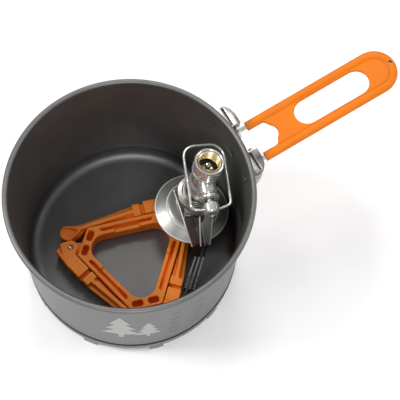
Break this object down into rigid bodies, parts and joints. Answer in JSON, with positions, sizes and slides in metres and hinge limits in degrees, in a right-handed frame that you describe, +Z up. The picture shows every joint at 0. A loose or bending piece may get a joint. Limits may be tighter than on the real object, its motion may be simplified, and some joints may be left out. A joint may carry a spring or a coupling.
{
  "type": "nesting camp cook pot",
  "caption": "Heat-exchanger camp cook pot with a folding wire handle, holding a folded canister stabiliser and an upturned gas canister burner",
  "frame": {"origin": "centre of the flat pad in the middle of the pot's underside, on its outer face", "axes": "+Z up along the pot's axis towards its open rim; +X towards the handle"},
  "size_m": [0.2295, 0.13, 0.0982],
  "materials": {
    "hard_anodised_aluminium": "hard anodised, dark grey, satin",
    "bare_aluminium": "satin",
    "stainless_steel": "polished",
    "brass": "machined",
    "orange_silicone": "moulded silicone, soft matte",
    "orange_nylon": "moulded nylon, satin",
    "black_rubber": "matte"
  },
  "bodies": {
    "pot": {"pot_shell": "hard_anodised_aluminium", "heat_exchanger": "bare_aluminium", "guard_ring": "hard_anodised_aluminium", "handle_bracket": "stainless_steel", "rivet_upper": "hard_anodised_aluminium", "rivet_middle": "hard_anodised_aluminium", "rivet_lower": "hard_anodised_aluminium"},
    "handle": {"handle_wire": "stainless_steel", "handle_sleeve": "orange_silicone"},
    "stabiliser": {"stabiliser_hub": "orange_nylon", "leg_pin_a": "stainless_steel", "leg_pin_b": "stainless_steel", "leg_pin_c": "stainless_steel"},
    "leg_a": {"stabiliser_leg_a": "orange_nylon"},
    "leg_b": {"stabiliser_leg_b": "orange_nylon"},
    "leg_c": {"stabiliser_leg_c": "orange_nylon"},
    "burner": {"burner_head": "stainless_steel", "flame_disc": "stainless_steel", "mixing_tube": "stainless_steel", "support_collar": "stainless_steel", "support_pin_left": "stainless_steel", "support_pin_middle": "stainless_steel", "support_pin_right": "stainless_steel", "valve_body": "stainless_steel", "gas_jet": "brass", "gland_nut": "stainless_steel", "canister_socket": "stainless_steel", "thread_liner": "brass", "socket_seal": "black_rubber", "valve_depressor": "brass"},
    "valve": {"valve_spindle": "brass", "valve_knob": "stainless_steel"},
    "control_loop": {"control_loop": "stainless_steel"},
    "support_left": {"pot_support_left": "stainless_steel"},
    "support_middle": {"pot_support_middle": "stainless_steel"},
    "support_right": {"pot_support_right": "stainless_steel"}
  },
  "joints": [
    {"name": "handle_fold", "type": "hinge", "parent": "pot", "child": "handle", "pos_m": [0.0683, 0, 0.0812], "axis": [0, -1, 0], "range_deg": [0, 167.5]},
    {"name": "stabiliser_lift", "type": "slide", "parent": "pot", "child": "stabiliser", "axis": [0, 0, 1], "range_m": [0, 0.115]},
    {"name": "leg_a_turn", "type": "hinge", "parent": "stabiliser", "child": "leg_a", "pos_m": [-0.03502, 0.01234, 0], "axis": [0, 0, -1], "range_deg": [0, 3.5]},
    {"name": "leg_b_turn", "type": "hinge", "parent": "stabiliser", "child": "leg_b", "pos_m": [-0.00829, -0.04778, 0], "axis": [0, 0, -1], "range_deg": [0, 2.5]},
    {"name": "leg_c_turn", "type": "hinge", "parent": "stabiliser", "child": "leg_c", "pos_m": [0.03041, 0.00543, 0], "axis": [0, 0, -1], "range_deg": [0, 24]},
    {"name": "burner_lift", "type": "slide", "parent": "stabiliser", "child": "burner", "axis": [0, 0, 1], "range_m": [0, 0.1]},
    {"name": "valve_turn", "type": "hinge", "parent": "burner", "child": "valve", "pos_m": [0.03803, -0.01905, 0.06509], "axis": [-0.3243, -0.9457, 0.0237], "range_deg": [-28, 38]},
    {"name": "loop_fold", "type": "hinge", "parent": "valve", "child": "control_loop", "pos_m": [0.03702, -0.02198, 0.06517], "axis": [0.9395, -0.3249, -0.1089], "range_deg": [0, 110]},
    {"name": "support_right_fold", "type": "hinge", "parent": "burner", "child": "support_right", "pos_m": [0.04172, -0.01446, 0.03737], "axis": [-0.9395, 0.3249, 0.1089], "range_deg": [0, 28]},
    {"name": "support_middle_fold", "type": "hinge", "parent": "burner", "child": "support_middle", "pos_m": [0.03637, -0.01261, 0.03799], "axis": [-0.9395, 0.3249, 0.1089], "range_deg": [0, 28]},
    {"name": "support_left_fold", "type": "hinge", "parent": "burner", "child": "support_left", "pos_m": [0.03139, -0.01088, 0.03857], "axis": [-0.9395, 0.3249, 0.1089], "range_deg": [0, 28]}
  ],
  "couplings": [
    {"joint": "support_middle_fold", "follows": "support_right_fold", "ratio": 1},
    {"joint": "support_left_fold", "follows": "support_right_fold", "ratio": 1}
  ]
}
